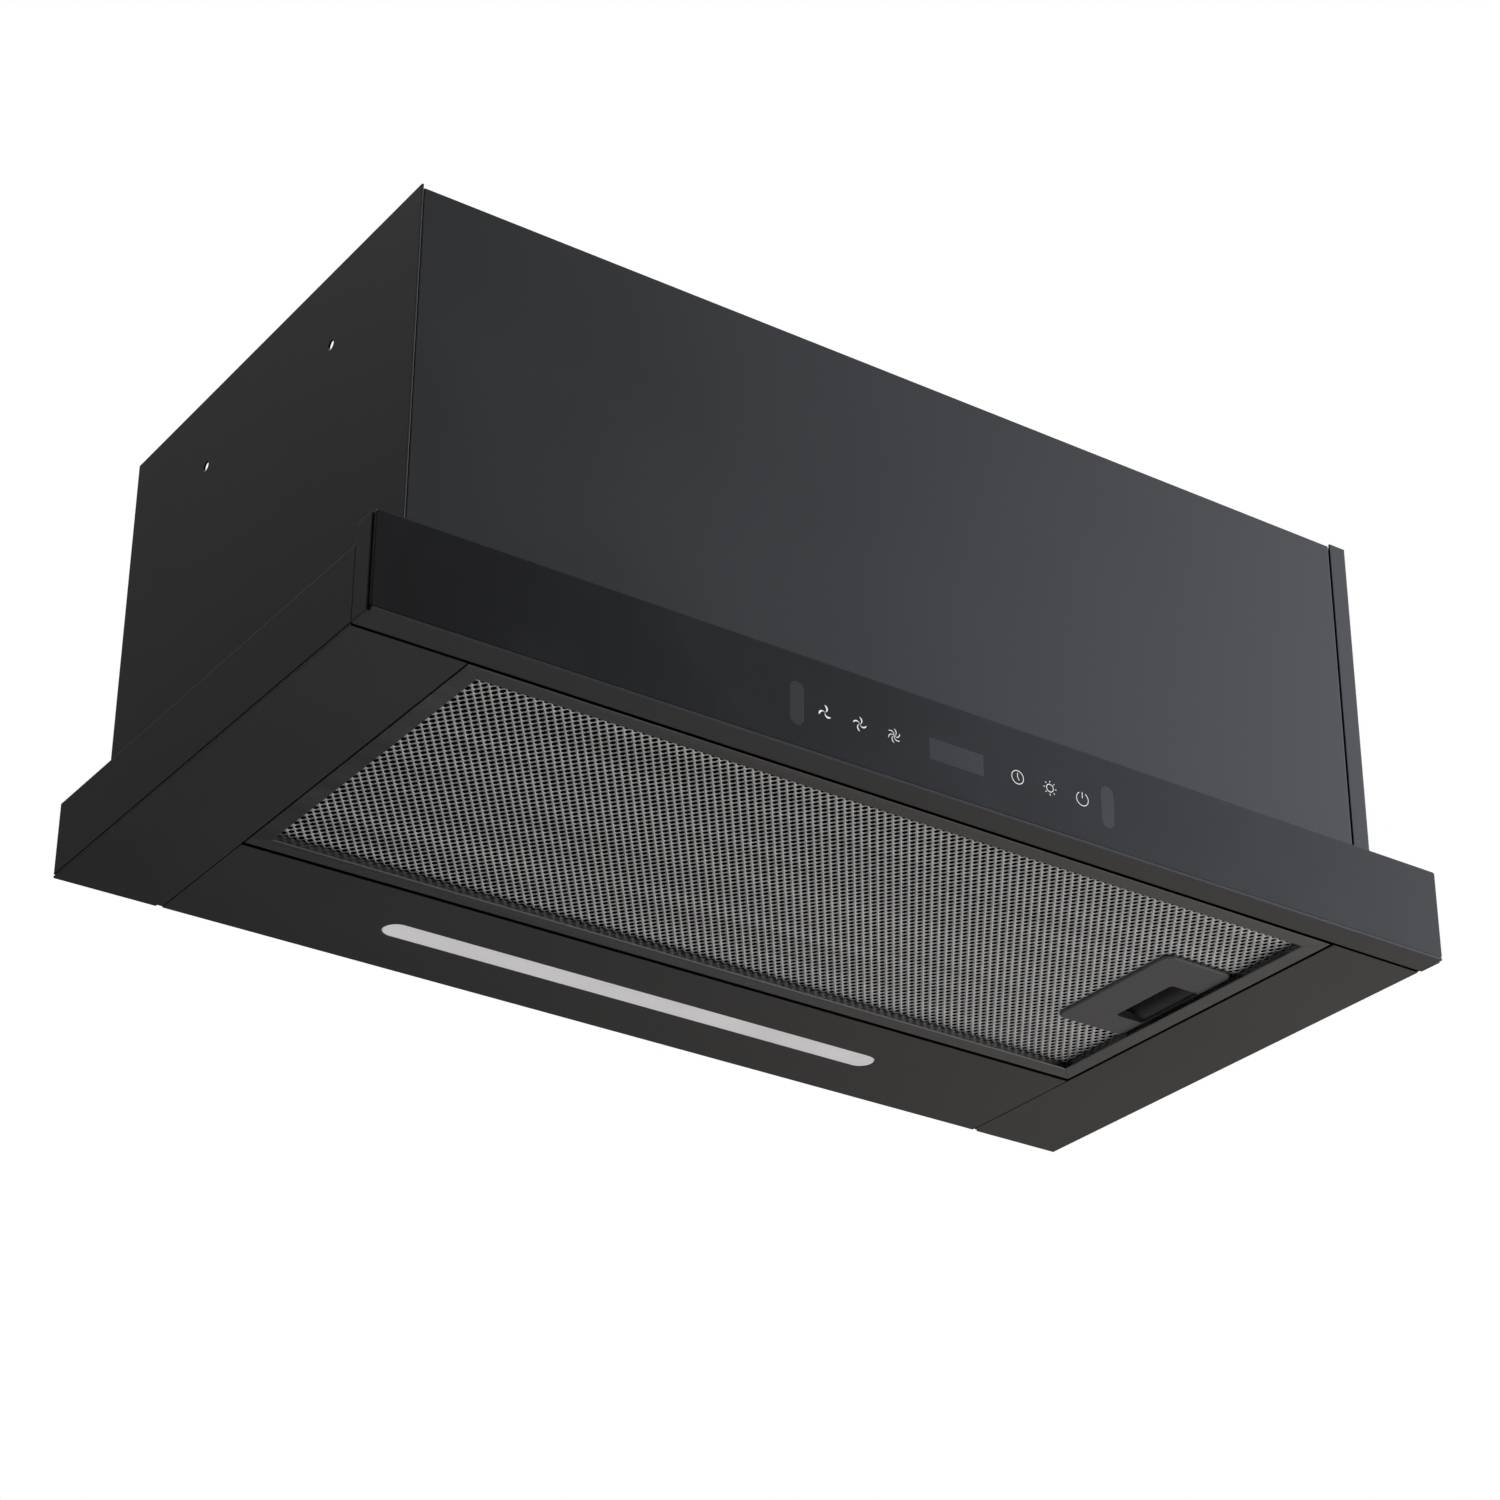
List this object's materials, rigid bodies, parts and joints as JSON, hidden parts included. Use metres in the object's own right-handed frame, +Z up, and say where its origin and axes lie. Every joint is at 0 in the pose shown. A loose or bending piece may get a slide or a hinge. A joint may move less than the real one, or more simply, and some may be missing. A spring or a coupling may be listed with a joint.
{
  "type": "under cabinet range hood",
  "caption": "Slim telescopic under-cabinet range hood: black motor box over a filter tray, black glass touch front on a pull-out visor, lamp strip and round duct spigot on top.",
  "frame": {"origin": "middle of the footprint, on the plane of the underside", "axes": "+Z up towards the duct spigot, -Y towards the glass front, +X to the right of a person facing the front"},
  "size_m": [0.6, 0.305, 0.262],
  "materials": {
    "black_steel": "satin powder coat, black",
    "black_glass": "polished black back-painted glass",
    "aluminium_mesh": "bright expanded aluminium",
    "aluminium_frame": "satin grey anodised aluminium",
    "bezel_grey": "fine satin grey moulding",
    "latch_black": "moulded, dark grey",
    "lamp_lens": "frosted white diffuser",
    "galvanised": "zinc-coated sheet",
    "inner_plastic": "moulded, black",
    "nylon": "natural nylon",
    "circuit_board": "green solder mask",
    "sensor_grey": "smoked grey",
    "motor_steel": "turned steel",
    "motor_can": "dark enamel",
    "copper_winding": "enamelled copper",
    "rubber_black": "moulded rubber",
    "zinc_screw": "zinc plated",
    "damper_white": "moulded, off-white"
  },
  "bodies": {
    "housing": {"left_side_panel": "black_steel", "right_side_panel": "black_steel", "front_cover": "black_steel", "back_panel": "galvanised", "top_panel": "galvanised", "left_skirt": "black_steel", "right_skirt": "black_steel", "left_wing": "black_steel", "right_wing": "black_steel", "rear_light_panel": "black_steel", "tray_rear_wall": "black_steel", "front_cross_rail": "galvanised", "latch_keeper": "motor_steel", "light_lens": "lamp_lens", "light_housing": "galvanised", "led_board": "circuit_board", "left_outer_rail": "galvanised", "right_outer_rail": "galvanised", "rail_glides": "nylon", "volute_scroll": "galvanised", "volute_left_plate": "galvanised", "volute_right_plate": "galvanised", "motor_housing": "motor_can", "motor_stator": "copper_winding", "motor_bearings": "motor_steel", "motor_bracket": "galvanised", "motor_grommets": "rubber_black", "outlet_collar": "inner_plastic", "damper_pin": "motor_steel", "control_box": "inner_plastic", "control_box_lid": "inner_plastic", "power_board": "circuit_board", "run_capacitor": "damper_white", "cable_gland": "inner_plastic", "top_screws": "zinc_screw"},
    "rotor": {"impeller": "inner_plastic", "impeller_hub": "motor_steel", "motor_shaft": "motor_steel", "motor_rotor": "motor_steel"},
    "left_flap": {"left_damper_flap": "damper_white"},
    "right_flap": {"right_damper_flap": "damper_white"},
    "visor": {"front_carrier": "black_steel", "left_end_cap": "black_steel", "right_end_cap": "black_steel", "glass_front": "black_glass", "touch_board": "circuit_board", "display_module": "sensor_grey", "gesture_sensors": "sensor_grey", "visor_frame": "black_steel", "visor_filter_frame": "aluminium_frame", "visor_filter_mesh": "aluminium_mesh", "left_inner_rail": "galvanised", "right_inner_rail": "galvanised"},
    "grease_filter": {"filter_frame": "aluminium_frame", "filter_mesh": "aluminium_mesh", "filter_core": "aluminium_mesh", "filter_tabs": "aluminium_frame", "latch_bezel": "bezel_grey", "latch_spring": "zinc_screw"},
    "latch": {"latch_slider": "latch_black"}
  },
  "joints": [
    {"name": "visor_slide", "type": "slide", "parent": "housing", "child": "visor", "axis": [0, -1, 0], "range_m": [0, 0.165]},
    {"name": "filter_drop", "type": "hinge", "parent": "housing", "child": "grease_filter", "pos_m": [-0.2431, 0, 0.0003], "axis": [0, 1, 0], "range_deg": [0, 85]},
    {"name": "latch_slide", "type": "slide", "parent": "grease_filter", "child": "latch", "axis": [-1, 0, 0], "range_m": [0, 0.007], "stiffness_N_per_m": 300, "springref_m": -0.008, "deforming": ["latch_spring"]},
    {"name": "impeller_spin", "type": "hinge", "parent": "housing", "child": "rotor", "pos_m": [0, 0.055, 0.137], "axis": [1, 0, 0], "continuous": true},
    {"name": "left_flap_swing", "type": "hinge", "parent": "housing", "child": "left_flap", "pos_m": [0, 0, 0.2393], "axis": [0, 1, 0], "range_deg": [0, 75]},
    {"name": "right_flap_swing", "type": "hinge", "parent": "housing", "child": "right_flap", "pos_m": [0, 0, 0.2393], "axis": [0, -1, 0], "range_deg": [0, 75]}
  ]
}
